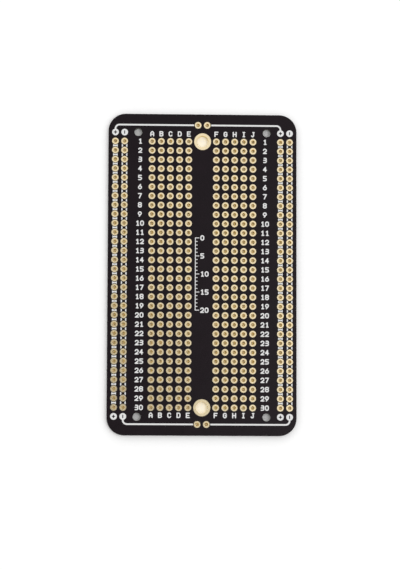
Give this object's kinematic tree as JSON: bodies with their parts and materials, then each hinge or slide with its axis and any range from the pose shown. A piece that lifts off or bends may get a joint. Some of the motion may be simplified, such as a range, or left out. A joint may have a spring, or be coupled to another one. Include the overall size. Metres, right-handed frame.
{
  "type": "prototype board",
  "caption": "Flat black printed circuit board for soldering prototypes: lettered and numbered hole grid, supply rails, rounded corners, mounting holes.",
  "frame": {"origin": "on the underside, below the middle of the board's outline", "axes": "+X across the strips from hole A to hole J, +Y along the board towards row 1, +Z out of the printed component side"},
  "size_m": [0.052, 0.0888, 0.0016],
  "materials": {
    "glass_epoxy_laminate": "cut glass-epoxy edge, dull dark grey with fine paler layers",
    "solder_mask": "near-black cured mask with a soft satin sheen",
    "plated_copper": "pale gold plating over copper, smooth and bright",
    "white_ink": "matt white printed ink"
  },
  "bodies": {
    "root": {"laminate": "glass_epoxy_laminate", "solder_mask_top": "solder_mask", "solder_mask_underside": "solder_mask", "contact_row_01": "plated_copper", "contact_row_02": "plated_copper", "contact_row_03": "plated_copper", "contact_row_04": "plated_copper", "contact_row_05": "plated_copper", "contact_row_06": "plated_copper", "contact_row_07": "plated_copper", "contact_row_08": "plated_copper", "contact_row_09": "plated_copper", "contact_row_10": "plated_copper", "contact_row_11": "plated_copper", "contact_row_12": "plated_copper", "contact_row_13": "plated_copper", "contact_row_14": "plated_copper", "contact_row_15": "plated_copper", "contact_row_16": "plated_copper", "contact_row_17": "plated_copper", "contact_row_18": "plated_copper", "contact_row_19": "plated_copper", "contact_row_20": "plated_copper", "contact_row_21": "plated_copper", "contact_row_22": "plated_copper", "contact_row_23": "plated_copper", "contact_row_24": "plated_copper", "contact_row_25": "plated_copper", "contact_row_26": "plated_copper", "contact_row_27": "plated_copper", "contact_row_28": "plated_copper", "contact_row_29": "plated_copper", "contact_row_30": "plated_copper", "left_plus_rail": "plated_copper", "left_minus_rail": "plated_copper", "right_plus_rail": "plated_copper", "right_minus_rail": "plated_copper", "upper_mounting_eyelet": "plated_copper", "lower_mounting_eyelet": "plated_copper", "left_row_numbers": "white_ink", "right_row_numbers": "white_ink", "upper_column_letters": "white_ink", "lower_column_letters": "white_ink", "plus_rail_stripes": "white_ink", "minus_rail_stripes": "white_ink", "polarity_marks": "white_ink", "centre_scale": "white_ink"}
  },
  "joints": []
}
